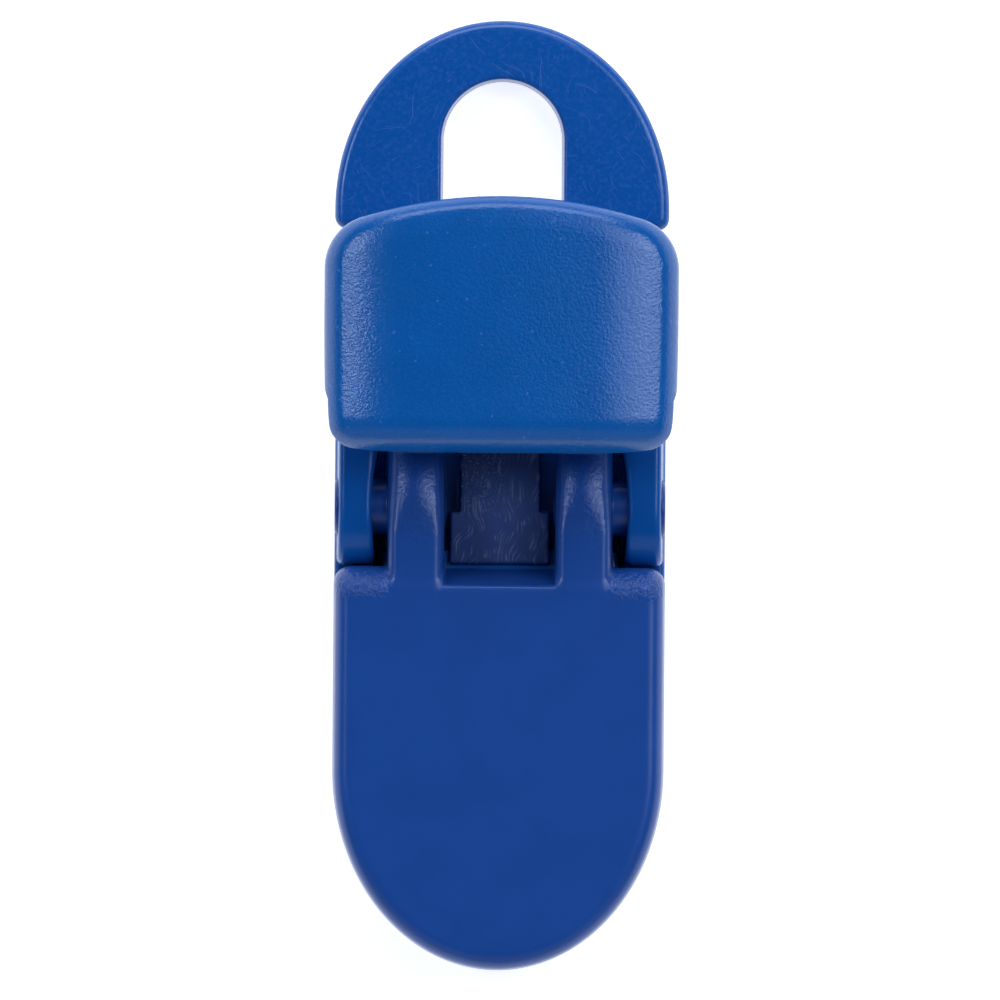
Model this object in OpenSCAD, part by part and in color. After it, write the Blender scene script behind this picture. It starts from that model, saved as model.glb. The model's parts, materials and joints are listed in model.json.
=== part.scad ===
// Flip-lever clothes clip with a hanging loop, in millimetres.
// The clip lies on its flat back: +Y points to the hanging loop, +Z comes out of
// the front face, and +X is to the right seen from the front.
// Three mouldings snap together. The jaw turns in the ears of the body, the lever
// turns in the arms of the jaw, and the leg of the closed lever stands on the floor
// of the body, so that it props the tail of the jaw up and the nose shut.

/* [Overall] */
// Length from the tip of the jaws to the top of the hanging loop
clip_len = 50; // [49:0.5:52]
// Height of each half-elliptic end, the loop's and the jaws'
end_len = 10.55; // [10:0.05:11]

/* [Base body] */
// Width over the two ears
ear_span = 17.4; // [17:0.05:17.8]
// Thickness of the back plate and of the hanging loop
plate_t = 2.2; // [2:0.05:2.3]
// Thickness of each ear
ear_t = 2.39; // [2.2:0.01:2.5]
// Height of the ears above the back
ear_h = 4.8; // [4.7:0.05:4.9]
// Width of the neck between the plate and the loop
neck_w = 12.4; // [10:0.2:14]

/* [Hanging loop] */
// Width of the loop
loop_w = 17.6; // [16.5:0.1:18]
// Width of the arched window
window_w = 6.2; // [5:0.1:7]
// Plastic left above the window
crown_t = 3.23; // [2.5:0.01:4]
// Length of the window
window_len = 7.4; // [6.5:0.1:7.6]

/* [Front jaw] */
// Width of the jaw
jaw_w = 17.46; // [17:0.02:17.6]
// Height of the jaw's front face above the back
jaw_h = 5.7; // [5.5:0.05:5.75]
// Space between the two arms
arm_gap = 5.68; // [5.4:0.02:5.8]
// Width of each arm
arm_w = 3.13; // [3:0.01:3.14]
// Number of grip teeth
tooth_count = 6; // [4:1:6]

/* [Lever] */
// Width of the lever
lever_w = 18.6; // [18.2:0.1:19.5]
// Length of the lever
lever_len = 13.5; // [12:0.1:14]
// Thickness of the closed clip, to the top of the lever
clip_h = 10.8; // [10.6:0.1:11.4]
// Depth of the rim below the lever's plate
rim_depth = 1.9; // [1:0.1:2]

/* [Hinges] */
// Radius of the jaw's trunnions
jaw_pin_r = 1.45; // [1.3:0.01:1.5]
// Radius of the lever's trunnions
lever_pin_r = 0.8; // [0.7:0.01:0.85]
// Radial clearance of each trunnion in its hole
pin_clearance = 0.05; // [0.02:0.01:0.1]

/* [Hidden] */
$fn = 64;

// Height along Y of the two half-ellipses' centres, counted from the middle of the clip
end_y = clip_len / 2 - end_len;
over = 0.01;

// Clearances: beside parts that pass each other, at the jaw's cheeks, behind the jaw, beside the leg
side_gap = 0.2;
cheek_gap = 0.1;
jaw_gap = 0.15;
leg_gap = 0.34;

// Hinge axes, as [y, z]
jaw_axis = [-0.66, 2.8];
lever_axis = [3.9, 7.5];

// Hanging loop: radius of its lower corners, and how far its flat side lies below the ellipse's centre
loop_corner_r = 0.63;
loop_drop = 0.45;

// Back plate: where the ears' width starts, the steps in its outline and the corners above the ears
plate_inset = 0.1;
ears_y = -5;
shelf_step = 0.6;
plate_corner = [1.5, 10.9];
neck_y = plate_corner[1] + plate_corner[0];

// Hinge zone
ear_in = ear_span / 2 - ear_t;
ear_top_y = 8;
ear_round_r = 3.05;
guard_h = 5.9;
guard_y = 5.4;
guard_slope = 1;
arm_in = arm_gap / 2;
arm_out = arm_in + arm_w;
// Each arm's front bends back towards the lever on a radius, from bend_y, over bend_turn degrees
bend_y = -1;
bend_r = 9;
bend_turn = 20;
// Each arm's back rises from heel_y through heel to heel_top, and its lug tapers to its root
arm_root = 1;
heel_y = 0.8;
heel = [3, 3.4];
heel_top = 5.2;
lug_taper = 0.15;
lug_foot = 5.4;
boss_r = 1.55;
lug_r = 1.15;
jaw_pin_end = ear_span / 2;
// How far the lever's trunnions reach into the arms
lever_pin_reach = 1.4;
lever_pin_end = arm_in + lever_pin_reach;
// The dish on an ear's inner face is part of a sphere
dish_r = 5.21;
dish_depth = 0.95;

// Floor of the pocket
floor_h = 2.6;
channel_h = 0.95;
floor_half = arm_in - side_gap;
floor_narrow = 2.1;
floor_y = [-3.4, -0.4, 7.6];
channel_y = -2.9;

// Jaw plate
jaw_back = plate_t + jaw_gap;
shoulder_y = -3.76;
shoulder_r = 1.5;
notch_y = -4.7;
rib_w = 1.2;
core_y = [-13.2, -6.6];
core_top = 4;
wall_t = 1.6;

// Grip teeth
tooth_h = 0.6;
tooth_gap = 0.25;
tooth_pitch = 1.25;
tooth_y = -14.2;
grip_inset = 1.5;

// Lever
lever_y = 2.2;
lever_under = lever_axis[1] + lug_r + jaw_gap;
crown_r = 110;
side_bulge = 0.0028;
top_arch = 0.0213;
top_corner_r = 2.8;
low_corner_r = 1.5;
least_corner_r = 0.4;
rim_t = 1.4;
rim_y = lever_axis[0] + 1.1;
leg_half = arm_in - leg_gap;
leg_tip_r = 0.85;
leg_tip_z = floor_h + jaw_gap + leg_tip_r;
// Width of the leg's root before and behind the lever's axis
leg_root = [1.3, 1.9];
widest_share = 0.58;

// Points of an elliptic arc, from one angle to another
function arc(cx, cy, rx, ry, from, to, steps = 24) =
    [for (i = [0:steps]) let (a = from + (to - from) * i / steps) [cx + rx * cos(a), cy + ry * sin(a)]];

// The same points mirrored across the Y axis, in reverse order, without those on the axis
function mirrored(points) =
    [for (i = [len(points) - 1:-1:0]) if (points[i][0] > over) [-points[i][0], points[i][1]]];

// Extrudes a [y, z] profile along X
module along_x(x0, x1) {
    translate([x0, 0, 0]) rotate([90, 0, 90]) linear_extrude(x1 - x0) children();
}

module both_sides() {
    children();
    mirror([1, 0, 0]) children();
}

// Round feature of a [y, z] profile, on one of the hinge axes
module on_axis(axis, r) {
    translate(axis) circle(r);
}

// Plan of the back plate: nose, sides, ears' width and neck
module plate_plan() {
    half = jaw_w / 2 - plate_inset;
    ears = ear_span / 2;
    shelf = ears - shelf_step;
    corner = plate_corner[0];
    right = concat(
        arc(0, -end_y, half, end_len - plate_inset, -90, 0),
        [[half, ears_y], [ears, ears_y], [ears, ear_top_y], [shelf, ear_top_y + shelf_step]],
        arc(shelf - corner, plate_corner[1], corner, corner, 0, 90, 8),
        [[neck_w / 2, neck_y], [neck_w / 2, end_y]]);
    polygon(concat(right, mirrored(right)));
}

// Plan of the D-shaped loop, with small corners at its flat side
module loop_plan() {
    half = loop_w / 2;
    corner_y = end_y - loop_drop + loop_corner_r;
    right = concat(
        arc(half - loop_corner_r, corner_y, loop_corner_r, loop_corner_r, -90, 0, 6),
        arc(0, end_y + loop_corner_r, half, end_len - loop_corner_r, 0, 90));
    polygon(concat(right, mirrored(right)));
}

// Arched window of the loop
module window() {
    arch_y = clip_len / 2 - crown_t - window_w / 2;
    low_y = clip_len / 2 - crown_t - window_len;
    translate([0, arch_y, -1]) cylinder(d = window_w, h = plate_t + 2);
    translate([-window_w / 2, low_y, -1]) cube([window_w, arch_y - low_y, plate_t + 2]);
}

// Profile of an ear: round towards the jaw, with a low guard behind the lever's sweep
module ear_profile() {
    intersection() {
        on_axis(jaw_axis, ear_round_r);
        translate([jaw_axis[0] - ear_round_r, 0]) square([ear_round_r + over, ear_h]);
    }
    polygon([
        [jaw_axis[0], 0], [ear_top_y, 0], [ear_top_y, guard_h - guard_slope],
        [ear_top_y - guard_slope, guard_h], [guard_y + guard_slope, guard_h], [guard_y, ear_h],
        [jaw_axis[0], ear_h]]);
}

// Through hole in an ear for the jaw's trunnion, with the dish that leads it in
module ear_hole() {
    along_x(ear_in - 1, ear_span / 2 + 1) on_axis(jaw_axis, jaw_pin_r + pin_clearance);
    intersection() {
        translate([ear_in + dish_depth - dish_r, jaw_axis[0], jaw_axis[1]]) sphere(dish_r);
        translate([ear_in - over, jaw_axis[0] - dish_r, channel_h])
            cube([2 * dish_depth, 2 * dish_r, 2 * dish_r]);
    }
}

// Outline of the zone that the grip teeth fill
module grip_plan(inset) {
    half = jaw_w / 2 - inset;
    right = arc(0, -end_y, half, end_len - inset, -90, 0);
    polygon(concat(right, [[half, tooth_y + 1], [-half, tooth_y + 1]], mirrored(right)));
}

// Toothed profile that rises from z0; the points below z0 close it
module teeth_profile(z0, depth) {
    last = tooth_y - tooth_count * tooth_pitch;
    crests = [for (i = [0:tooth_count - 1]) let (y = tooth_y - i * tooth_pitch)
        each [[y, z0], [y - tooth_pitch / 2, z0 + tooth_h]]];
    polygon(concat([[tooth_y, z0 - depth]], crests, [[last, z0], [last, z0 - depth]]));
}

module grip_teeth() {
    intersection() {
        along_x(-jaw_w / 2, jaw_w / 2) teeth_profile(plate_t, 1);
        linear_extrude(2 * plate_t) grip_plan(grip_inset);
    }
}

// Room for the arms between the floor block and the ears
module arm_channel() {
    translate([floor_half, channel_y, channel_h])
        cube([ear_in - floor_half, floor_y[2] - channel_y, 2 * plate_t]);
    translate([floor_narrow, floor_y[1], channel_h])
        cube([ear_in - floor_narrow, floor_y[2] - floor_y[1], 2 * plate_t]);
}

// Back moulding: plate, hanging loop, ears, pocket floor and teeth
module base_body() {
    color("royalblue") union() {
        difference() {
            union() {
                linear_extrude(plate_t) plate_plan();
                linear_extrude(plate_t) loop_plan();
                translate([-floor_half, floor_y[0], 0])
                    cube([2 * floor_half, floor_y[2] - floor_y[0], floor_h]);
                both_sides() along_x(ear_in, ear_span / 2) ear_profile();
            }
            window();
            both_sides() arm_channel();
            both_sides() ear_hole();
        }
        grip_teeth();
    }
}

// Profile of the jaw's plate, with its round shoulder
module jaw_profile() {
    translate([-clip_len / 2, jaw_back])
        square([clip_len / 2 + shoulder_y - shoulder_r, jaw_h - jaw_back]);
    translate([shoulder_y - shoulder_r - over, jaw_back])
        square([shoulder_r + over, jaw_h - jaw_back - shoulder_r]);
    intersection() {
        translate([shoulder_y - shoulder_r, jaw_h - shoulder_r]) circle(shoulder_r);
        translate([shoulder_y - shoulder_r - over, jaw_back])
            square([shoulder_r + over, jaw_h - jaw_back]);
    }
}

module jaw_plan() {
    half = jaw_w / 2;
    right = concat(arc(0, -end_y, half, end_len, -90, 0), [[half, shoulder_y]]);
    polygon(concat(right, mirrored(right)));
}

// Profile of an arm: front that bends back, boss on the jaw's axis and lug on the lever's
module arm_profile() {
    lug_front = lever_axis[0] - lug_r;
    lug_rear = lever_axis[0] + lug_r;
    polygon(concat(
        [[notch_y - arm_root, jaw_back], [heel_y, jaw_back], heel, [lug_rear - lug_taper, heel_top]],
        [[lug_rear, lever_axis[1]], [lug_front, lever_axis[1]], [lug_front - lug_taper, lug_foot]],
        arc(bend_y, jaw_h - bend_r, bend_r, bend_r, 90 - bend_turn, 90, 6),
        [[notch_y - arm_root, jaw_h]]));
    on_axis(jaw_axis, boss_r);
    on_axis(lever_axis, lug_r);
}

// Hollows inside the jaw, on both sides of a middle rib
module jaw_cores() {
    both_sides() translate([rib_w / 2, core_y[0], jaw_back - 1])
        cube([jaw_w / 2 - wall_t - rib_w / 2, core_y[1] - core_y[0], core_top - jaw_back + 1]);
}

// Toothed recess, the counterpart of the body's teeth
module jaw_teeth_recess() {
    intersection() {
        along_x(-jaw_w / 2, jaw_w / 2) union() {
            teeth_profile(plate_t + tooth_gap, 2);
            translate([tooth_y - over, plate_t - 1]) square([0.4, 1 + tooth_gap]);
        }
        translate([0, 0, -1]) linear_extrude(2 * jaw_h) grip_plan(grip_inset - side_gap);
    }
}

// Front moulding: plate, arms, trunnions, lugs and teeth
module front_jaw() {
    color("royalblue") union() {
        difference() {
            intersection() {
                linear_extrude(jaw_h) jaw_plan();
                along_x(-jaw_w / 2, jaw_w / 2) jaw_profile();
            }
            along_x(-arm_in, arm_in)
                polygon([[notch_y, jaw_h + 1], [notch_y, jaw_h], [shoulder_y, jaw_back], [shoulder_y, 0],
                    [0, 0], [0, jaw_h + 1]]);
            both_sides() along_x(arm_out + cheek_gap, jaw_w / 2 + 1) on_axis(jaw_axis, ear_round_r + side_gap);
            jaw_cores();
            jaw_teeth_recess();
        }
        both_sides() along_x(arm_in, arm_out) difference() {
            arm_profile();
            on_axis(lever_axis, lever_pin_r + pin_clearance);
        }
        both_sides() along_x(arm_out - over, jaw_pin_end) on_axis(jaw_axis, jaw_pin_r);
    }
}

// Plan of the lever, drawn inset from its outer edge
module lever_plan(inset) {
    side = lever_w / 2 - inset;
    tip = lever_y + lever_len - inset;
    low = lever_y + inset;
    widest = lever_y + widest_share * lever_len;
    corner = max(top_corner_r - inset, least_corner_r);
    low_corner = max(low_corner_r - inset, least_corner_r);
    turn = 90 - atan(2 * top_arch * (side - 0.6 * corner));
    top_x = side - corner + corner * cos(turn);
    top_y = tip - top_arch * top_x * top_x - corner * sin(turn);
    low_side = side - side_bulge * pow(widest - low, 2);
    right = concat(
        arc(low_side - low_corner, low + low_corner, low_corner, low_corner, -90, 0, 8),
        [for (i = [1:7]) let (y = low + low_corner + (top_y - low - low_corner) * i / 8)
            [side - side_bulge * pow(widest - y, 2), y]],
        arc(side - corner, top_y, corner, corner, 0, turn, 8),
        [for (i = [1:8]) let (x = top_x * (1 - i / 8)) [x, tip - top_arch * x * x]]);
    polygon(concat(right, mirrored(right)));
}

// Thumb plate, slightly crowned across its width
module thumb_plate() {
    half = lever_w / 2;
    crown = [for (i = [-12:12]) let (x = half * i / 12) [-x, clip_h - x * x / (2 * crown_r)]];
    intersection() {
        translate([0, 0, lever_under]) linear_extrude(clip_h - lever_under) lever_plan(0);
        translate([0, lever_y + lever_len + 1, 0]) rotate([90, 0, 0]) linear_extrude(lever_len + 2)
            polygon(concat([[-half, lever_under - 1], [half, lever_under - 1]], crown));
    }
}

// Rim that stiffens the thumb plate at its sides and free end
module rim() {
    intersection() {
        translate([0, 0, lever_under - rim_depth]) linear_extrude(rim_depth + 0.5) difference() {
            lever_plan(0);
            lever_plan(rim_t);
        }
        along_x(-lever_w / 2, lever_w / 2) polygon([
            [rim_y, lever_under + 0.5], [rim_y, lever_under], [rim_y + rim_depth, lever_under - rim_depth],
            [lever_y + lever_len, lever_under - rim_depth], [lever_y + lever_len, lever_under + 0.5]]);
    }
}

// Leg that stands on the pocket floor when the lever is shut
module leg_profile() {
    polygon([
        [lever_axis[0] - leg_root[0], lever_under + over], [lever_axis[0] - lug_r, lever_axis[1]],
        [lever_axis[0] - leg_tip_r, leg_tip_z], [lever_axis[0] + leg_tip_r, leg_tip_z],
        [lever_axis[0] + lug_r, lever_axis[1]], [lever_axis[0] + leg_root[1], lever_under + over]]);
    translate([lever_axis[0], leg_tip_z]) circle(leg_tip_r);
}

// Top moulding: thumb plate, rim, leg and trunnions
module lever() {
    color("mediumblue") union() {
        thumb_plate();
        rim();
        along_x(-leg_half, leg_half) leg_profile();
        along_x(-lever_pin_end, lever_pin_end) on_axis(lever_axis, lever_pin_r);
    }
}

base_body();
front_jaw();
lever();
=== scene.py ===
"""Looks of the flip-lever clothes clip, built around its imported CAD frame.

Each of the three mouldings is a solid written as signed distances, negative inside, and skinned into
a mesh, so that every edge has the fillet of a moulded part. The shape functions work in millimetres;
the meshes are in metres, in the frame's own axes.
"""
import json

import bpy
import numpy as np
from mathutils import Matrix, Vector


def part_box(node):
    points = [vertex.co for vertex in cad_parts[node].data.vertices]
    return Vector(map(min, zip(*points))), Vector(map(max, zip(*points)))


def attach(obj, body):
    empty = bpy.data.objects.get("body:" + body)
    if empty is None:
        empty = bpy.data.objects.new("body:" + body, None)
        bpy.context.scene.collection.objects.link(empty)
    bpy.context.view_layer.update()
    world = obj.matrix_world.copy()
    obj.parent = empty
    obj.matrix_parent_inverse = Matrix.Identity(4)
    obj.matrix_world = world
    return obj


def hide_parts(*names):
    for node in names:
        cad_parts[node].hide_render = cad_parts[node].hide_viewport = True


# A millimetre, in metres
MM = 0.001

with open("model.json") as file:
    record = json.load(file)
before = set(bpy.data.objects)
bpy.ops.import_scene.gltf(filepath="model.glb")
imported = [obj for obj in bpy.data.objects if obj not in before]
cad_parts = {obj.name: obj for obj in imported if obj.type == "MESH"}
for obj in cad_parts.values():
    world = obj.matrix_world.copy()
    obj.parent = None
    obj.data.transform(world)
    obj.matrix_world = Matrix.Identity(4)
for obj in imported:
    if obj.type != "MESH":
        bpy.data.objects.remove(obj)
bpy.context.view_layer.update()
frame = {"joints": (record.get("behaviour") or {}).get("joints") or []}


# ---------------------------------------------------------------- sizes, in millimetres

# The boxes and axes come from the frame, and the other sizes repeat those of the CAD unless a comment
# says otherwise. Across the clip they are measured from its middle plane.

def box_mm(node):
    """Lowest and highest corner of a CAD node, in millimetres."""
    low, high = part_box(node)
    return np.array(low) / MM, np.array(high) / MM


def axis_mm(joint_name):
    """Where a hinge's axis crosses the middle plane, as (y, z) in millimetres."""
    joint = next(j for j in frame["joints"] if j["name"] == joint_name)
    return joint["pos_m"][1] / MM, joint["pos_m"][2] / MM


BASE_LOW, BASE_HIGH = box_mm("base_body")
JAW_LOW, JAW_HIGH = box_mm("front_jaw")
LEVER_LOW, LEVER_HIGH = box_mm("lever")
JAW_AXIS = axis_mm("jaw_hinge")
LEVER_AXIS = axis_mm("lever_hinge")

# Outline, with a round nose at one end and the round loop with its window at the other
LOOP_HALF = BASE_HIGH[0]
LOOP_TOP = BASE_HIGH[1]
JAW_HALF = JAW_HIGH[0]
NOSE_TIP = JAW_LOW[1]
END_LEN = 10.55
LOOP_Y = LOOP_TOP - END_LEN
NOSE_Y = NOSE_TIP + END_LEN
WINDOW_HALF = 3.1
WINDOW_TOP = LOOP_TOP - 3.23
WINDOW_LEN = 7.4

# Back plate and ears; EAR_SKIN is where the ears' inner faces begin here, and EAR_IN where the CAD's do
PLATE_T = 2.2
EAR_OUT = 8.7
EAR_IN = 6.31
EAR_SKIN = 6.18
EAR_H = 4.8
EAR_TOP_Y = 8.0
EAR_ROUND = 3.05
GUARD_H = 5.9

# Dish round each trunnion hole, shallower and wider than the CAD's
DISH_R = 12.2
DISH_DEPTH = 0.55

# Floor of the pocket, between two channels for the arms. It runs from FLOOR_FOOT_Y to FLOOR_TOP_Y and
# narrows at NARROW_Y; it starts and narrows a little nearer to the nose than the CAD's.
FLOOR_H = 2.6
FLOOR_HALF = 2.64
FLOOR_NARROW = 2.1
FLOOR_FOOT_Y = -3.62
FLOOR_TOP_Y = 7.6
NARROW_Y = -0.9
CHANNEL_H = 0.95
CHANNEL_Y = -2.9

# Front jaw and its arms
ARM_IN = 2.84
ARM_OUT = 5.97
JAW_BACK = PLATE_T + 0.15
JAW_FACE = 5.7
SHOULDER_Y = -3.76
NOTCH_Y = -4.7
LUG_R = 1.15
BOSS_R = 1.55
JAW_PIN_R = 1.45
LEVER_PIN_R = 0.8
PIN_GAP = 0.05

# Grip teeth, in rows that start at GRIP_Y and run to the nose
GRIP_Y = -14.2
TEETH = 6
TOOTH_PITCH = 1.25
TOOTH_H = 0.6

# Lever; the arch is how far its free end falls back, per square millimetre from the middle
LEVER_UNDER = LEVER_AXIS[1] + LUG_R + 0.15
LEG_HALF = ARM_IN - 0.34
LEG_TIP_R = 0.85
LEG_TIP_Z = FLOOR_H + 1.0
RIM_DEPTH = 1.9
TOP_ARCH = 0.0213

# How far the side walls of the ears and of the jaw lean, per millimetre of height; the CAD's are upright
EAR_LEAN = 0.05
WALL_LEAN = 0.04

COARSE = 1.0
BASE_STEP = 0.152 * COARSE
JAW_STEP = 0.122 * COARSE
LEVER_STEP = 0.094 * COARSE


# ---------------------------------------------------------------- signed distances

# The last number given to common, joined, cut and block is the fillet of the edge they make.

def outline_distance(u, v, points):
    """Distance in the plane to a closed outline, negative inside."""
    u, v = np.broadcast_arrays(u, v)
    nearest = np.full(u.shape, np.inf)
    inside = np.zeros(u.shape, bool)
    for (u0, v0), (u1, v1) in zip(points, np.roll(points, -1, axis=0)):
        du, dv = u1 - u0, v1 - v0
        length = du * du + dv * dv
        if length < 1e-12:
            continue
        t = np.clip(((u - u0) * du + (v - v0) * dv) / length, 0, 1)
        nearest = np.minimum(nearest, (u - u0 - t * du) ** 2 + (v - v0 - t * dv) ** 2)
        if dv != 0:
            inside ^= ((v0 > v) != (v1 > v)) & (u < du * (v - v0) / dv + u0)
    return np.where(inside, -1.0, 1.0) * np.sqrt(nearest)


def slab(s, low, high):
    """What lies between two parallel planes."""
    return np.maximum(low - s, s - high)


def common(a, b, fillet):
    """What two solids share, with their common edge rounded."""
    round_part = np.hypot(np.maximum(fillet + a, 0), np.maximum(fillet + b, 0))
    return np.minimum(-fillet, np.maximum(a, b)) + round_part


def joined(a, b, fillet):
    """Two solids as one, with the inner corner between them filled."""
    round_part = np.hypot(np.maximum(fillet - a, 0), np.maximum(fillet - b, 0))
    return np.maximum(fillet, np.minimum(a, b)) - round_part


def cut(a, b, fillet):
    """The first solid without the second, with the new edge rounded."""
    return common(a, -b, fillet)


def block(x, y, z, low, high, edge):
    """A box between two corners, with round edges."""
    plan = common(slab(x, low[0], high[0]), slab(y, low[1], high[1]), edge)
    return common(plan, slab(z, low[2], high[2]), edge)


def around(y, z, axis, r):
    """A round bar along X, on a hinge axis."""
    return np.hypot(y - axis[0], z - axis[1]) - r


def arc(cx, cy, rx, ry, start, stop, steps=24):
    """Points on an elliptic arc, angles in degrees."""
    angle = np.radians(np.linspace(start, stop, steps + 1))
    return np.column_stack([cx + rx * np.cos(angle), cy + ry * np.sin(angle)])


def both_halves(right):
    """A closed outline from the points of its right half, from the bottom up."""
    right = np.vstack([np.array(p, float).reshape(-1, 2) for p in right])
    left = right[::-1] * (-1, 1)
    return np.vstack([right, left[left[:, 0] < -1e-6]])


# ---------------------------------------------------------------- skinning

def skin(shape, low, high, step):
    """Vertices and quads of the surface where a shape's distance is zero, by surface nets."""
    axes = [np.arange(a - 2 * step, b + 3 * step, step) for a, b in zip(low, high)]
    field = np.broadcast_to(
        shape(axes[0][:, None, None], axes[1][None, :, None], axes[2][None, None, :]),
        [len(a) for a in axes])
    inside = field < 0
    corners = [(i, j, k) for i in (0, 1) for j in (0, 1) for k in (0, 1)]
    count = sum(shifted(inside, c).astype(np.int8) for c in corners)
    crossed = (count > 0) & (count < 8)
    cells = np.argwhere(crossed)
    number = np.full(crossed.shape, -1)
    number[crossed] = np.arange(len(cells))
    total = np.zeros((len(cells), 3))
    hits = np.zeros(len(cells))
    for start in corners:
        for axis in range(3):
            if start[axis]:
                continue
            end = tuple(c + (i == axis) for i, c in enumerate(start))
            f0 = field[tuple((cells + start).T)]
            f1 = field[tuple((cells + end).T)]
            crosses = (f0 < 0) != (f1 < 0)
            t = np.where(crosses, f0 / np.where(crosses, f0 - f1, 1), 0)
            point = np.array(start) + t[:, None] * (np.arange(3) == axis)
            total += point * crosses[:, None]
            hits += crosses
    first = np.array([a[0] for a in axes])
    vertices = first + step * (cells + total / hits[:, None])
    quads = [edge_quads(inside, number, axis) for axis in range(3)]
    return vertices, np.vstack(quads)


def shifted(grid, corner):
    """The grid's values at one corner of every cell."""
    part = [slice(c, c + n - 1) for c, n in zip(corner, grid.shape)]
    return grid[tuple(part)]


def edge_quads(inside, number, axis):
    """One quad round each grid edge along an axis that crosses the surface."""
    u, v = (axis + 1) % 3, (axis + 2) % 3
    here = np.take(inside, range(inside.shape[axis] - 1), axis)
    there = np.take(inside, range(1, inside.shape[axis]), axis)
    edges = np.argwhere(here != there)
    edges = edges[(edges[:, u] > 0) & (edges[:, v] > 0)]
    back_u, back_v = np.arange(3) == u, np.arange(3) == v
    around_edge = [edges, edges - back_u, edges - back_u - back_v, edges - back_v]
    quads = np.column_stack([number[tuple(c.T)] for c in around_edge])
    leaving = here[tuple(edges.T)]
    quads[~leaving] = quads[~leaving][:, ::-1]
    return quads


def slope(shape, points, reach=0.02):
    """Unit outward direction of a shape at each point."""
    rows = []
    for axis in np.eye(3) * reach:
        rows.append(shape(*(points + axis).T) - shape(*(points - axis).T))
    gradient = np.column_stack(rows)
    return gradient / np.maximum(np.linalg.norm(gradient, axis=1, keepdims=True), 1e-9)


def moulding(name, shape, low, high, step):
    """A smooth mesh object from a shape; its points and normals are set on the exact surface."""
    vertices, quads = skin(shape, np.array(low), np.array(high), step)
    most = 0.3 * step
    off = np.clip(shape(*vertices.T), -most, most)
    vertices -= off[:, None] * slope(shape, vertices)
    vertices = np.clip(vertices, low, high)
    mesh = bpy.data.meshes.new(name)
    mesh.vertices.add(len(vertices))
    mesh.vertices.foreach_set("co", (vertices * MM).astype(np.float32).ravel())
    mesh.loops.add(4 * len(quads))
    mesh.loops.foreach_set("vertex_index", quads.astype(np.int32).ravel())
    mesh.polygons.add(len(quads))
    mesh.polygons.foreach_set("loop_start", np.arange(0, 4 * len(quads), 4, dtype=np.int32))
    mesh.polygons.foreach_set("use_smooth", np.ones(len(quads), bool))
    mesh.update(calc_edges=True)
    mesh.normals_split_custom_set_from_vertices(slope(shape, vertices, 0.4 * step))
    piece = bpy.data.objects.new(name, mesh)
    bpy.context.scene.collection.objects.link(piece)
    return piece


# ---------------------------------------------------------------- base body

def plate_plan():
    """Plan of the back plate from the nose, just inside the jaw's, to the waist under the lever."""
    inset = 0.1
    nose_half = JAW_HALF - inset
    shelf, shelf_r, waist, waist_y = EAR_OUT - 0.6, 1.5, 6.2, 12.4
    return both_halves([
        arc(0, NOSE_Y, nose_half, END_LEN - inset, -90, 0, 48),
        [[nose_half, -5], [EAR_OUT, -4.9], [EAR_OUT, EAR_TOP_Y], [shelf, EAR_TOP_Y + 0.6]],
        arc(shelf - shelf_r, waist_y - shelf_r, shelf_r, shelf_r, 0, 90, 10),
        [[waist, waist_y], [waist, LOOP_Y]]])


def loop_plan():
    """Plan of the D-shaped loop, with small corners at its flat foot."""
    corner, foot = 0.63, 0.45
    return both_halves([
        arc(LOOP_HALF - corner, LOOP_Y - foot + corner, corner, corner, -90, 0, 8),
        arc(0, LOOP_Y + corner, LOOP_HALF, END_LEN - corner, 0, 90, 48)])


def ear_profile():
    """Side view of an ear: round about the jaw's hinge, then straight to its upper end."""
    foot = np.degrees(np.arcsin(JAW_AXIS[1] / EAR_ROUND))
    return np.vstack([
        arc(*JAW_AXIS, EAR_ROUND, EAR_ROUND, 90, 180 + foot, 24),
        [[EAR_TOP_Y, 0], [EAR_TOP_Y, JAW_AXIS[1] + EAR_ROUND]]])


def guard_profile():
    """Side view of the raised end of an ear, under the lever."""
    start_y, foot_z = 5, 1
    return np.array([
        [start_y, foot_z], [EAR_TOP_Y, foot_z], [EAR_TOP_Y, GUARD_H - 1], [EAR_TOP_Y - 1, GUARD_H],
        [6.4, GUARD_H], [5.4, EAR_H], [start_y, EAR_H]])


def teeth_height(y):
    """Height of the grip teeth's profile over their foot."""
    phase = ((GRIP_Y - y) / TOOTH_PITCH) % 1.0
    wave = 1 - np.abs(2 * phase - 1)
    in_rows = (y < GRIP_Y) & (y > GRIP_Y - TEETH * TOOTH_PITCH)
    return np.where(in_rows, TOOTH_H * wave, 0.0)


def grip_plan(inset):
    """Plan of the grip teeth, inside the nose's edge."""
    half = JAW_HALF - inset
    return both_halves([arc(0, NOSE_Y, half, END_LEN - inset, -90, 0, 32), [[half, GRIP_Y + 1]]])


PLATE_PLAN, LOOP_PLAN = plate_plan(), loop_plan()
EAR_PROFILE, GUARD_PROFILE = ear_profile(), guard_profile()
GRIP_PLAN, GRIP_ROOM = grip_plan(1.5), grip_plan(1.3)


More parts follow.
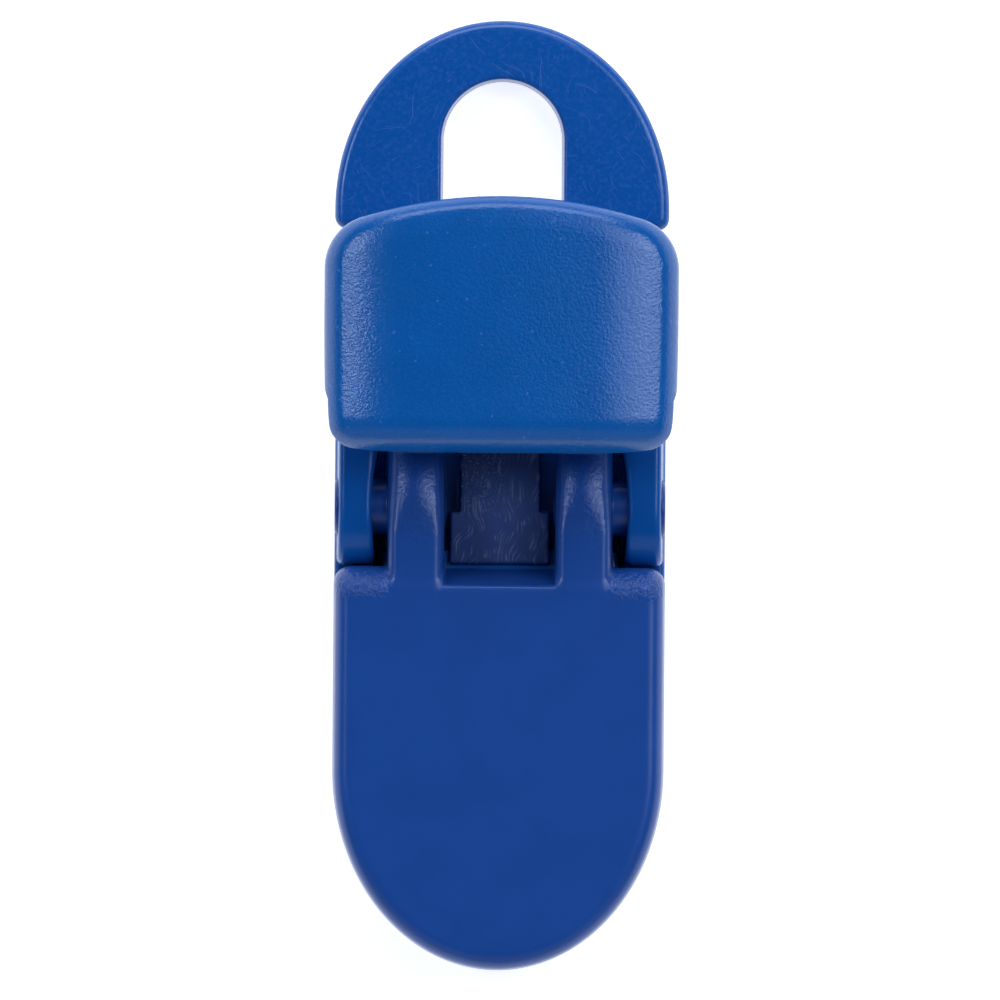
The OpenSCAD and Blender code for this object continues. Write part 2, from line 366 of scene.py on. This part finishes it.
def base_shape(x, y, z):
    """Back plate with the loop, the floor of the pocket, the ears and the back row of teeth."""
    side = np.abs(x)
    plate = common(outline_distance(x, y, PLATE_PLAN), slab(z, 0, PLATE_T), 0.3)
    loop = common(outline_distance(x, y, LOOP_PLAN), slab(z, 0, PLATE_T), 0.5)
    solid = np.minimum(plate, loop)
    floor_low, floor_high = (-FLOOR_HALF, FLOOR_FOOT_Y, 0.5), (FLOOR_HALF, FLOOR_TOP_Y, FLOOR_H)
    solid = np.minimum(solid, block(x, y, z, floor_low, floor_high, 0.15))

    profile = common(outline_distance(y, z, EAR_PROFILE), common(z - EAR_H, y - 5, 0.3), 1.4)
    profile = np.minimum(profile, common(outline_distance(y, z, GUARD_PROFILE), -z, 0.2))
    ears = common(profile, side - EAR_OUT + EAR_LEAN * z, 0.35)
    ears = common(ears, EAR_SKIN - side, 0.85)
    solid = np.minimum(solid, ears)

    above = 9
    channel_high = (EAR_SKIN, FLOOR_TOP_Y, above)
    channel = np.minimum(
        block(side, y, z, (FLOOR_HALF, CHANNEL_Y, CHANNEL_H), channel_high, 0.1),
        block(side, y, z, (FLOOR_NARROW, NARROW_Y, CHANNEL_H), channel_high, 0.1))
    solid = cut(solid, channel, 0.12)

    pin_hole = common(around(y, z, JAW_AXIS, JAW_PIN_R + PIN_GAP), EAR_IN - 1 - side, 0)
    solid = cut(solid, pin_hole, 0.1)
    dish_x = EAR_IN + DISH_DEPTH - DISH_R
    dish = np.sqrt((side - dish_x) ** 2 + (y - JAW_AXIS[0]) ** 2 + (z - JAW_AXIS[1]) ** 2) - DISH_R
    dish = np.maximum(np.maximum(dish, EAR_IN - 0.05 - side), CHANNEL_H - z)
    solid = cut(solid, dish, 0.3)

    window_draft = 0.15 * np.clip(z / PLATE_T, 0, 1)
    arch_y = WINDOW_TOP - WINDOW_HALF
    arch = np.hypot(x, y - arch_y) - WINDOW_HALF
    straight = common(side - WINDOW_HALF, slab(y, WINDOW_TOP - WINDOW_LEN, arch_y), 0.2)
    solid = cut(solid, np.minimum(arch, straight) - window_draft, 0.14)

    teeth = np.maximum(outline_distance(x, y, GRIP_PLAN), z - PLATE_T - teeth_height(y))
    return np.minimum(solid, np.maximum(teeth, 1 - z))


# ---------------------------------------------------------------- front jaw

def arm_profile():
    """Side view of an arm, whose front bends back towards the lug of the lever's hinge."""
    front, rear = LEVER_AXIS[0] - LUG_R, LEVER_AXIS[0] + LUG_R
    bend_y, bend_r, bend = -1.6, 13.0, 17
    return np.vstack([
        [[NOTCH_Y - 3, JAW_BACK], [0.8, JAW_BACK], [3, 3.4], [rear - 0.15, 5.2]],
        [[rear, LEVER_AXIS[1]], [front, LEVER_AXIS[1]], [front - 0.1, 5.4]],
        arc(bend_y, JAW_FACE - bend_r, bend_r, bend_r, 90 - bend, 90, 12),
        [[NOTCH_Y - 0.3, JAW_FACE], [NOTCH_Y - 3, JAW_FACE - 1.2]]])


def jaw_plan():
    """Plan of the jaw's plate, run on past the shoulders, where jaw_shape ends it."""
    return both_halves([arc(0, NOSE_Y, JAW_HALF, END_LEN, -90, 0, 64), [[JAW_HALF, 6]]])


ARM_PROFILE, JAW_PLAN = arm_profile(), jaw_plan()


def jaw_shape(x, y, z):
    """Front plate with its two arms, its trunnions and the front row of teeth."""
    side = np.abs(x)
    top = common(y - SHOULDER_Y, z - JAW_FACE, 1.5)
    wall = outline_distance(x, y, JAW_PLAN) + WALL_LEAN * (z - JAW_BACK)
    shell = common(wall, top, 0.9)
    shell = common(shell, JAW_BACK - z, 0.15)

    notch_lean = (SHOULDER_Y - NOTCH_Y) / (JAW_FACE - JAW_BACK)
    notch = np.maximum(NOTCH_Y + notch_lean * (JAW_FACE - z) - y, side - ARM_IN)
    shell = cut(shell, notch, 0.18)
    ear_room = np.maximum(around(y, z, JAW_AXIS, EAR_ROUND + 0.1), ARM_OUT + 0.1 - side)
    shell = cut(shell, ear_room, 0.1)
    hollow_low, hollow_high = (0.6, -13.2, 0), (JAW_HALF - 1.6, -6.6, 4)
    shell = cut(shell, block(side, y, z, hollow_low, hollow_high, 0.3), 0.12)
    tooth_gap = 0.25
    recess = np.maximum(
        outline_distance(x, y, GRIP_ROOM), z - PLATE_T - tooth_gap - teeth_height(y))
    shell = cut(shell, np.maximum(recess, y - GRIP_Y), 0.05)

    profile = np.minimum(outline_distance(y, z, ARM_PROFILE), around(y, z, JAW_AXIS, BOSS_R))
    profile = np.minimum(profile, around(y, z, LEVER_AXIS, LUG_R))
    across = (side - (ARM_IN + ARM_OUT) / 2) / (ARM_OUT - ARM_IN)
    crown_low, crown_more, crown_y, crown_run = 0.3, 1.9, -1.9, 2.4
    crown = crown_low * across ** 2
    crown = crown + crown_more * across ** 2 * np.clip((y - crown_y) / crown_run, 0, 1)
    arms = common(profile + crown, slab(side, ARM_IN, ARM_OUT) + WALL_LEAN * (z - JAW_BACK), 0.5)
    lug_hole = around(y, z, LEVER_AXIS, LEVER_PIN_R + PIN_GAP)
    arms = cut(arms, lug_hole, 0.08)

    pins = common(around(y, z, JAW_AXIS, JAW_PIN_R), slab(side, ARM_OUT - 0.3, EAR_OUT), 0.15)
    # Known fault: this trims the arms too, at the height of the face. Their lugs and the lug holes for
    # the lever's trunnions stand above it in the CAD, and are missing from this skin.
    solid = common(joined(shell, arms, 0.22), z - JAW_FACE, 0.1)
    solid = cut(solid, np.maximum(notch, JAW_BACK - z), 0.18)
    return np.minimum(solid, pins)


# ---------------------------------------------------------------- lever

def lever_plan(inset=0.0):
    """Plan of the lever: straight foot, slightly round sides, arched free end."""
    half = LEVER_HIGH[0] - inset
    low, tip = LEVER_LOW[1] + inset, LEVER_HIGH[1] - inset
    widest = LEVER_LOW[1] + 0.58 * (LEVER_HIGH[1] - LEVER_LOW[1])
    bulge = 0.0028
    corner, low_corner = max(2.8 - inset, 0.4), max(1.5 - inset, 0.4)
    turn = 90 - np.degrees(np.arctan(2 * TOP_ARCH * (half - 0.6 * corner)))
    top_x = half - corner + corner * np.cos(np.radians(turn))
    top_y = tip - TOP_ARCH * top_x ** 2 - corner * np.sin(np.radians(turn))
    low_half = half - bulge * (widest - low) ** 2
    side_y = np.linspace(low + low_corner, top_y, 9)[1:-1]
    top = top_x * np.linspace(1, 0, 13)[1:]
    return both_halves([
        arc(low_half - low_corner, low + low_corner, low_corner, low_corner, -90, 0, 10),
        np.column_stack([half - bulge * (widest - side_y) ** 2, side_y]),
        arc(half - corner, top_y, corner, corner, 0, turn, 16),
        np.column_stack([top, tip - TOP_ARCH * top ** 2])])


def leg_profile():
    """Side view of the leg, down to the middle of its round tip."""
    y, z = LEVER_AXIS
    root_z = LEVER_UNDER + 0.5
    return np.array([
        [y - 1.3, root_z], [y - LUG_R, z], [y - LEG_TIP_R, LEG_TIP_Z],
        [y + LEG_TIP_R, LEG_TIP_Z], [y + LUG_R, z], [y + 1.9, root_z]])


LEVER_PLAN, LEVER_INNER, LEG_PROFILE = lever_plan(), lever_plan(1.4), leg_profile()


def fall(distance, reach, depth):
    """How far a crowned face has dropped at a distance from its edge."""
    return depth * np.clip(1 - distance / reach, 0, 1) ** 2.2


def lever_shape(x, y, z):
    """Crowned thumb plate with a rim below, the leg between the arms, and its trunnions."""
    side = np.abs(x)
    half, low, high = LEVER_HIGH[0], LEVER_LOW[1], LEVER_HIGH[2]
    crown, tilt = 0.5, 0.045
    face = high - crown * (x / half) ** 2 - tilt * (y - low)
    face = face - fall(half - side, 4.5, 0.8) - fall(y - low, 2.0, 0.9)
    face = face - fall(LEVER_HIGH[1] - TOP_ARCH * x ** 2 - y, 1.8, 0.25)
    rim_start = LEVER_AXIS[0] + 1.1
    foot = LEVER_UNDER - np.clip(y - rim_start, 0, RIM_DEPTH)
    edge = 1.0 - 0.3 * np.clip((y - LEVER_HIGH[1] + 3) / 2, 0, 1)
    shell = common(common(outline_distance(x, y, LEVER_PLAN), z - face, edge), foot - z, 0.3)
    shell = cut(shell, np.maximum(outline_distance(x, y, LEVER_INNER), z - LEVER_UNDER), 0.25)
    tip = np.hypot(y - LEVER_AXIS[0], z - LEG_TIP_Z) - LEG_TIP_R
    leg = np.minimum(outline_distance(y, z, LEG_PROFILE), tip)
    leg = common(leg, side - LEG_HALF, 0.2)
    pins = common(around(y, z, LEVER_AXIS, LEVER_PIN_R), side - ARM_IN - 1.4, 0.12)
    return np.minimum(shell, np.minimum(leg, pins))


# ---------------------------------------------------------------- materials

class Nodes:
    """Short calls for building a material's node tree."""

    def __init__(self, name):
        self.material = bpy.data.materials.new(name)
        self.material.use_nodes = True
        self.tree = self.material.node_tree
        self.shader = self.tree.nodes["Principled BSDF"]

    def add(self, kind, inputs=None, **settings):
        """A new node with its settings made first and then its inputs, by name or number."""
        node = self.tree.nodes.new(kind)
        for key, value in settings.items():
            setattr(node, key, value)
        for key, value in (inputs or {}).items():
            self.put(node.inputs[key], value)
        return node

    def put(self, socket, value):
        """Links an output to a socket, or sets the socket to a number or a colour."""
        if isinstance(value, bpy.types.NodeSocket):
            self.tree.links.new(value, socket)
        else:
            socket.default_value = value

    def maths(self, operation, *values):
        """A sum of one to three values, by the node's own name for the operation."""
        node = self.add("ShaderNodeMath", dict(enumerate(values)), operation=operation)
        return node.outputs[0]

    def noise(self, place, scale, detail=2.0, rough=0.5):
        """Smooth noise from 0 to 1, with about scale features for each unit of place."""
        node = self.add("ShaderNodeTexNoise", {"Vector": place, "Scale": scale, "Detail": detail,
                                               "Roughness": rough})
        return node.outputs["Fac"]

    def ramp(self, value, low, high):
        """0 below low, 1 above high, smooth between."""
        node = self.add("ShaderNodeMapRange", {"Value": value, "From Min": low, "From Max": high},
                        interpolation_type="SMOOTHSTEP")
        return node.outputs["Result"]

    def mix(self, share, a, b):
        """A colour between a and b; the colours are sockets 6 and 7 of the node, and its result is 2."""
        return self.add("ShaderNodeMix", {0: share, 6: a, 7: b}, data_type="RGBA").outputs[2]


class Plastic(Nodes):
    """Blue moulded plastic: slow drifts of tone, a pebbled skin, and marks added where they belong.

    Masks for the marks are ramps over the piece's own x, y and z, in millimetres.
    """

    def __init__(self, name, colour, roughness):
        super().__init__(name)
        place = self.add("ShaderNodeTexCoord").outputs["Object"]
        self.mm = self.scaled(place, (1 / MM, 1 / MM, 1 / MM))
        split = self.add("ShaderNodeSeparateXYZ", {0: self.mm})
        self.x, self.y, self.z = split.outputs
        self.side = self.maths("ABSOLUTE", self.x)
        drift = self.ramp(self.noise(self.mm, 0.35, 3), 0.3, 0.7)
        self.colour = self.mix(drift, tuple(0.93 * c for c in colour) + (1,), (*colour, 1))
        self.rough = self.mixed(self.noise(self.mm, 0.9, 4), roughness, roughness + 0.07)
        self.height = None

    def scaled(self, vector, factors, turn=0.0):
        """A vector turned about Z in degrees and then scaled."""
        turned = self.add("ShaderNodeVectorRotate", {"Vector": vector, "Angle": np.radians(turn)},
                          rotation_type="Z_AXIS")
        return self.add("ShaderNodeVectorMath", {0: turned.outputs[0], 1: factors},
                        operation="MULTIPLY").outputs[0]

    def mixed(self, share, a, b):
        """A number between a and b."""
        node = self.add("ShaderNodeMapRange", {"Value": share, "To Min": a, "To Max": b})
        return node.outputs["Result"]

    def both(self, a, b):
        """Where two masks overlap, or a mask times a number."""
        return self.maths("MULTIPLY", a, b)

    def relief(self, height, depth_mm):
        """Adds to the bump; the height runs from 0 to 1."""
        more = self.both(height, depth_mm)
        self.height = more if self.height is None else self.maths("ADD", self.height, more)

    def tint(self, share, colour):
        """Moves the colour towards another by a share."""
        self.colour = self.mix(share, self.colour, (*colour, 1))

    def roughen(self, share, amount):
        """Adds to the roughness where the mask says so."""
        self.rough = self.maths("ADD", self.rough, self.both(share, amount))

    def pebbles(self, scale, depth_mm, where=1.0):
        """Orange-peel skin, scale in pebbles per millimetre."""
        grain = self.ramp(self.noise(self.mm, scale, 2, 0.55), 0.25, 0.75)
        self.relief(self.both(grain, where), depth_mm)

    def hairlines(self, turn, where, depth_mm, tone):
        """Fine scratches that wander about one direction, by up to a few millimetres."""
        wander = self.add("ShaderNodeTexNoise", {"Vector": self.mm, "Scale": 0.25, "Detail": 1.0})
        reach = (5, 5, 5)
        place = self.add("ShaderNodeVectorMath", {0: wander.outputs["Color"], 1: reach, 2: self.mm},
                         operation="MULTIPLY_ADD").outputs[0]
        along = self.scaled(place, (0.45, 9.0, 1.0), turn)
        line = self.ramp(self.noise(along, 1.0, 3, 0.6), 0.61, 0.73)
        line = self.both(line, where)
        self.relief(line, -depth_mm)
        self.roughen(line, 0.2)
        self.tint(self.both(line, 0.11), tone)

    def finished(self):
        """The material, once colour, roughness and bump are joined to its shader."""
        bump = self.add("ShaderNodeBump", {"Height": self.height, "Distance": MM, "Strength": 1.0})
        self.put(self.shader.inputs["Normal"], bump.outputs[0])
        self.put(self.shader.inputs["Base Color"], self.colour)
        self.put(self.shader.inputs["Roughness"], self.rough)
        self.shader.inputs["IOR"].default_value = 1.49
        return self.material


# Tone of the loop's scratches
SCUFF = (0.10, 0.22, 0.60)


def body_plastic():
    """Smooth, with scratches on the loop and a swirl-marked, matt floor between the ears that is
    darkened with painted shade.
    """
    m = Plastic("body_plastic", (0.001, 0.097, 0.385), 0.2)
    m.pebbles(5.0, 0.0012)
    on_loop = m.both(m.ramp(m.y, 12.5, 14.0), m.ramp(m.z, 1.9, 2.1))
    patch = m.ramp(m.noise(m.mm, 0.22, 2), 0.42, 0.6)
    m.hairlines(62, m.both(on_loop, patch), 0.004, SCUFF)
    m.hairlines(-40, m.both(on_loop, m.maths("SUBTRACT", 1.0, patch)), 0.003, SCUFF)
    mottle = m.ramp(m.noise(m.mm, 4.0, 3, 0.6), 0.42, 0.68)
    m.tint(m.both(m.both(mottle, on_loop), 0.12), SCUFF)

    in_pocket = m.both(m.ramp(m.side, 2.9, 2.6), m.ramp(m.y, 7.0, 6.0))
    in_pocket = m.both(m.both(in_pocket, m.ramp(m.y, -3.9, -3.5)), m.ramp(m.z, 2.3, 2.5))
    # Painted shade: the floor of the pocket, under the lever and between the arms, is darkened most of
    # the way to a deep blue.
    m.tint(m.both(in_pocket, 0.72), (0.015, 0.028, 0.11))
    bent = m.maths("MULTIPLY_ADD", m.noise(m.mm, 0.35, 1), 3.0, m.x)
    curved = m.add("ShaderNodeCombineXYZ", {0: m.both(bent, 8.0), 1: m.both(m.y, 0.55)}).outputs[0]
    swirls = m.ramp(m.noise(curved, 1.0, 3, 0.6), 0.50, 0.62)
    swirls = m.both(swirls, m.ramp(m.noise(m.mm, 1.1, 3), 0.42, 0.58))
    specks = m.both(m.ramp(m.noise(m.mm, 8.0, 2, 0.6), 0.55, 0.61), m.ramp(m.y, -2.0, 1.5))
    specks = m.both(specks, m.ramp(m.x, 1.0, -1.2))
    marks = m.both(m.maths("MAXIMUM", m.both(swirls, 0.7), specks), in_pocket)
    m.relief(marks, 0.02)
    m.tint(m.both(marks, 0.8), (0.17, 0.22, 0.38))
    m.roughen(in_pocket, 0.22)
    return m.finished()


def jaw_plastic():
    """Satin, with coarse grain on the shoulders beside the arms and a finer one on the arms."""
    m = Plastic("jaw_plastic", (0.010, 0.075, 0.325), 0.26)
    m.pebbles(6.0, 0.001)
    shoulder = m.both(m.ramp(m.y, -5.7, -5.0), m.ramp(m.y, -3.5, -3.8))
    shoulder = m.both(shoulder, m.ramp(m.side, 5.5, 6.3))
    m.pebbles(5.2, 0.04, shoulder)
    on_arm = m.both(m.ramp(m.y, -3.4, -1.5), m.ramp(m.z, 4.2, 4.9))
    m.pebbles(4.5, 0.010, on_arm)
    return m.finished()


def lever_plastic():
    """Glossy, with a clear orange-peel skin whose pebbles are tinted lighter as painted sheen, and a few
    pale specks of dust.
    """
    m = Plastic("lever_plastic", (0.001, 0.108, 0.378), 0.17)
    m.pebbles(6.8, 0.0078)
    m.pebbles(1.6, 0.003)
    # Painted sheen: pebble-sized spots tinted lighter, as if the orange-peel skin caught the light all
    # over the face.
    grain = m.ramp(m.noise(m.mm, 6.5, 2), 0.42, 0.68)
    m.tint(m.both(grain, 0.10), (0.05, 0.16, 0.52))
    dust = m.ramp(m.noise(m.mm, 3.1, 1), 0.735, 0.76)
    m.tint(m.both(dust, 0.35), (0.12, 0.25, 0.65))
    return m.finished()


def dress(piece, material, body, node):
    """Puts a piece on its CAD body, in place of the CAD node, with its material."""
    piece.data.materials.append(material)
    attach(piece, body)
    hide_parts(node)


# ---------------------------------------------------------------- the three pieces

base = moulding("base_moulding", base_shape, BASE_LOW, BASE_HIGH, BASE_STEP)
jaw = moulding("jaw_moulding", jaw_shape, JAW_LOW, JAW_HIGH, JAW_STEP)
lever = moulding("lever_moulding", lever_shape, LEVER_LOW, LEVER_HIGH, LEVER_STEP)
dress(base, body_plastic(), "body", "base_body")
dress(jaw, jaw_plastic(), "jaw", "front_jaw")
dress(lever, lever_plastic(), "thumb_lever", "lever")


# ---------------------------------------------------------------- floor, light and camera

def floor():
    """A wide sheet of pale paper just under the clip, a little self-lit so that it stays white."""
    mesh = bpy.data.meshes.new("floor")
    half, drop = 3.0, 0.0002
    corners = [(-half, -half, 0), (half, -half, 0), (half, half, 0), (-half, half, 0)]
    mesh.from_pydata(corners, [], [(0, 1, 2, 3)])
    plane = bpy.data.objects.new("floor", mesh)
    plane.location.z = -drop
    bpy.context.scene.collection.objects.link(plane)
    paper = Nodes("floor_paper")
    paper.shader.inputs["Base Color"].default_value = (0.8, 0.8, 0.8, 1)
    paper.shader.inputs["Roughness"].default_value = 0.9
    paper.shader.inputs["Emission Color"].default_value = (1, 1, 1, 1)
    paper.shader.inputs["Emission Strength"].default_value = 0.8
    mesh.materials.append(paper.material)


# A little blue, as in the photograph's highlights
SOFTBOX_TINT = (0.86, 0.98, 1.22)


def softbox(name, place, width, height, power):
    """A rectangular area light that faces the clip and that the camera doesn't see."""
    data = bpy.data.lights.new(name, "AREA")
    data.shape = "RECTANGLE"
    data.size = width
    data.size_y = height
    data.energy = power
    data.color = SOFTBOX_TINT
    lamp = bpy.data.objects.new(name, data)
    lamp.location = place
    lamp.rotation_euler = (-Vector(place)).to_track_quat("-Z", "Y").to_euler()
    lamp.visible_camera = False
    bpy.context.scene.collection.objects.link(lamp)


def studio_world():
    """Pale walls near the horizon and a dark ceiling; white where the camera looks past the floor."""
    world = bpy.data.worlds.new("studio")
    bpy.context.scene.world = world
    world.use_nodes = True
    tree = world.node_tree
    height = tree.nodes.new("ShaderNodeSeparateXYZ")
    tree.links.new(tree.nodes.new("ShaderNodeTexCoord").outputs["Generated"], height.inputs[0])
    walls = tree.nodes.new("ShaderNodeMapRange")
    walls.interpolation_type = "SMOOTHSTEP"
    tree.links.new(height.outputs["Z"], walls.inputs["Value"])
    for key, value in {"From Min": 0.0, "From Max": 0.30, "To Min": 0.75, "To Max": 0.02}.items():
        walls.inputs[key].default_value = value
    level = tree.nodes.new("ShaderNodeMath")
    level.operation = "MAXIMUM"
    tree.links.new(tree.nodes.new("ShaderNodeLightPath").outputs["Is Camera Ray"], level.inputs[0])
    tree.links.new(walls.outputs["Result"], level.inputs[1])
    tree.links.new(level.outputs[0], tree.nodes["Background"].inputs["Strength"])
    tree.nodes["Background"].inputs["Color"].default_value = (1, 1, 1, 1)


def camera():
    """Straight above the front face, far off with a long lens."""
    distance, subject_z, middle_y = 1.5, 0.004, -0.00024
    # The width of the view in metres, the sensor in millimetres, and the lean of the clip in degrees
    frame_side, sensor, roll = 0.05258, 36, 0.45
    data = bpy.data.cameras.new("camera")
    data.sensor_width = sensor
    data.lens = sensor * (distance - subject_z) / frame_side
    data.clip_start = 0.05
    data.clip_end = 20
    eye = bpy.data.objects.new("camera", data)
    eye.location = (0, middle_y, distance)
    eye.rotation_euler.z = np.radians(roll)
    bpy.context.scene.collection.objects.link(eye)
    bpy.context.scene.camera = eye


floor()
studio_world()
# Place, width and height in metres, and power in watts
softbox("left_box", (-0.295, 0.10, 0.36), 0.12, 0.12, 0.34)
softbox("right_box", (0.29, 0.11, 0.36), 0.16, 0.12, 0.40)
softbox("right_fill", (0.17, 0.10, 0.43), 0.28, 0.10, 0.25)
softbox("far_box", (0, 0.38, 0.26), 0.40, 0.24, 1.15)
softbox("near_box", (0, -0.50, 0.30), 1.40, 0.70, 1.3)
camera()
bpy.context.scene.view_settings.view_transform = "Standard"
